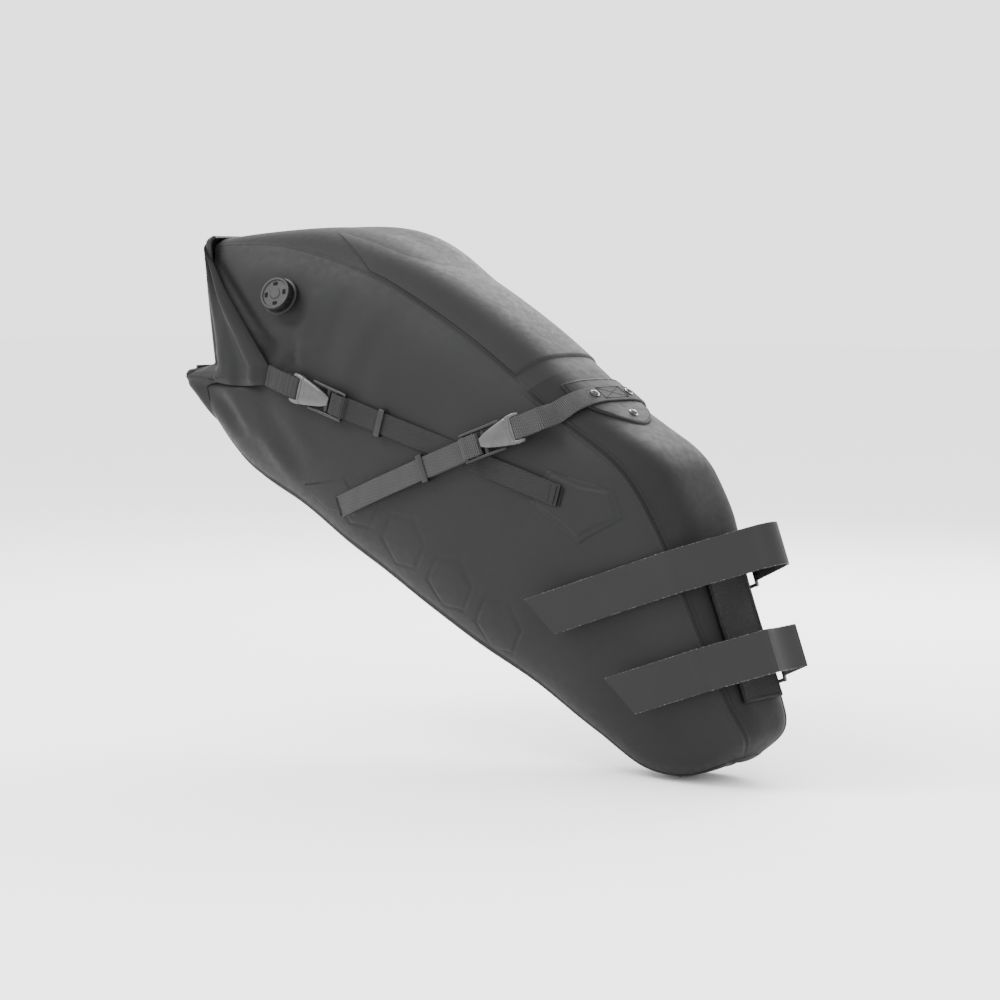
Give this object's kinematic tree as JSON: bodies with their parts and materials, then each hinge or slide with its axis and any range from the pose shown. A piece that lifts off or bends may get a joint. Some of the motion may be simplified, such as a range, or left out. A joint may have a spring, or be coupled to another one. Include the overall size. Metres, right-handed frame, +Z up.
{
  "type": "saddle bag",
  "caption": "Roll-top seatpost bag with tapered welded body, air valve, two rubber seatpost straps, rail compression straps and hook buckles on both sides.",
  "frame": {"origin": "on the axis of the two seatpost strap loops, midway between them", "axes": "+X to the front of the bicycle, +Y to its left, +Z up, with the seatpost leaning back 20 degrees from +Z"},
  "size_m": [0.6625, 0.208, 0.4871],
  "materials": {
    "coated_fabric": "matte coated ripstop",
    "gusset_fabric": "matte coated fabric",
    "grip_rubber": "grainy anti-slip",
    "strap_rubber": "smooth matte",
    "webbing": "woven",
    "hardware_plastic": "satin moulded",
    "valve_plastic": "moulded",
    "seal_rubber": "matte",
    "stiffener_board": "plain",
    "ring_metal": "black coated",
    "rivet_metal": "black gloss"
  },
  "bodies": {
    "bag": {"side_panel_right": "coated_fabric", "side_panel_left": "coated_fabric", "top_panel": "coated_fabric", "front_panel": "gusset_fabric", "belly_panel": "coated_fabric", "top_reinforcement": "coated_fabric", "nose_stiffener": "stiffener_board", "seatpost_pad": "grip_rubber", "valve_base": "valve_plastic", "valve_seal": "seal_rubber", "valve_nut": "valve_plastic", "seatpost_strap_upper": "strap_rubber", "strap_ring_upper": "ring_metal", "ring_tab_upper": "webbing", "seatpost_strap_lower": "strap_rubber", "strap_ring_lower": "ring_metal", "ring_tab_lower": "webbing", "rail_patch": "gusset_fabric", "rail_rivets": "rivet_metal", "rail_bridge_webbing": "webbing", "rail_webbing_right": "webbing", "rail_frame_right": "hardware_plastic", "rail_lower_webbing_right": "webbing", "rail_anchor_patch_right": "coated_fabric", "rail_webbing_left": "webbing", "rail_frame_left": "hardware_plastic", "rail_lower_webbing_left": "webbing", "rail_anchor_patch_left": "coated_fabric", "roll_frame_right": "hardware_plastic", "roll_webbing_right": "webbing", "roll_anchor_patch_right": "coated_fabric", "roll_frame_left": "hardware_plastic", "roll_webbing_left": "webbing", "roll_anchor_patch_left": "coated_fabric"},
    "closure": {"roll_collar": "coated_fabric", "roll_stiffener": "stiffener_board", "roll_tab_right": "webbing", "roll_tab_left": "webbing"},
    "roll_hook_right": {"roll_shield_right": "hardware_plastic"},
    "roll_hook_left": {"roll_shield_left": "hardware_plastic"},
    "rail_hook_right": {"rail_shield_right": "hardware_plastic"},
    "rail_hook_left": {"rail_shield_left": "hardware_plastic"},
    "roll_slider_right": {"roll_keeper_right": "hardware_plastic"},
    "roll_slider_left": {"roll_keeper_left": "hardware_plastic"},
    "rail_slider_right": {"rail_keeper_right": "hardware_plastic"},
    "rail_slider_left": {"rail_keeper_left": "hardware_plastic"},
    "upper_tail": {"strap_tail_upper": "strap_rubber"},
    "lower_tail": {"strap_tail_lower": "strap_rubber"},
    "valve_top": {"valve_cap": "valve_plastic"}
  },
  "joints": [
    {"name": "roll_top_open", "type": "slide", "parent": "bag", "child": "closure", "axis": [-0.9563, 0, 0.2924], "range_m": [0, 0.12]},
    {"name": "roll_hook_lift_right", "type": "hinge", "parent": "closure", "child": "roll_hook_right", "pos_m": [-0.45699, -0.096, 0.17709], "axis": [-0.2924, 0, -0.9563], "range_deg": [0, 60]},
    {"name": "roll_hook_lift_left", "type": "hinge", "parent": "closure", "child": "roll_hook_left", "pos_m": [-0.45699, 0.096, 0.17709], "axis": [0.2924, 0, 0.9563], "range_deg": [0, 60]},
    {"name": "rail_hook_lift_right", "type": "hinge", "parent": "bag", "child": "rail_hook_right", "pos_m": [-0.20533, -0.08245, 0.14735], "axis": [-0.3584, 0, 0.9336], "range_deg": [0, 60]},
    {"name": "rail_hook_lift_left", "type": "hinge", "parent": "bag", "child": "rail_hook_left", "pos_m": [-0.20533, 0.08245, 0.14735], "axis": [0.3584, 0, -0.9336], "range_deg": [0, 60]},
    {"name": "roll_slider_slide_right", "type": "slide", "parent": "bag", "child": "roll_slider_right", "axis": [0.9553, 0.0461, -0.2921], "range_m": [-0.01, 0.01]},
    {"name": "roll_slider_slide_left", "type": "slide", "parent": "bag", "child": "roll_slider_left", "axis": [0.9553, -0.0461, -0.2921], "range_m": [-0.01, 0.01]},
    {"name": "rail_slider_slide_right", "type": "slide", "parent": "bag", "child": "rail_slider_right", "axis": [0.9332, 0.0275, 0.3582], "range_m": [-0.012, 0]},
    {"name": "rail_slider_slide_left", "type": "slide", "parent": "bag", "child": "rail_slider_left", "axis": [0.9332, -0.0275, 0.3582], "range_m": [-0.012, 0]},
    {"name": "upper_tail_peel", "type": "hinge", "parent": "bag", "child": "upper_tail", "pos_m": [-0.05367, -0.0625, 0.02729], "axis": [-0.342, 0, 0.9397], "range_deg": [0, 60]},
    {"name": "lower_tail_peel", "type": "hinge", "parent": "bag", "child": "lower_tail", "pos_m": [-0.02357, -0.0625, -0.0554], "axis": [-0.342, 0, 0.9397], "range_deg": [0, 60]},
    {"name": "valve_turn", "type": "hinge", "parent": "bag", "child": "valve_top", "pos_m": [-0.47899, -0.0905, 0.26109], "axis": [0.1308, -0.9305, 0.342], "range_deg": [0, 90]}
  ]
}
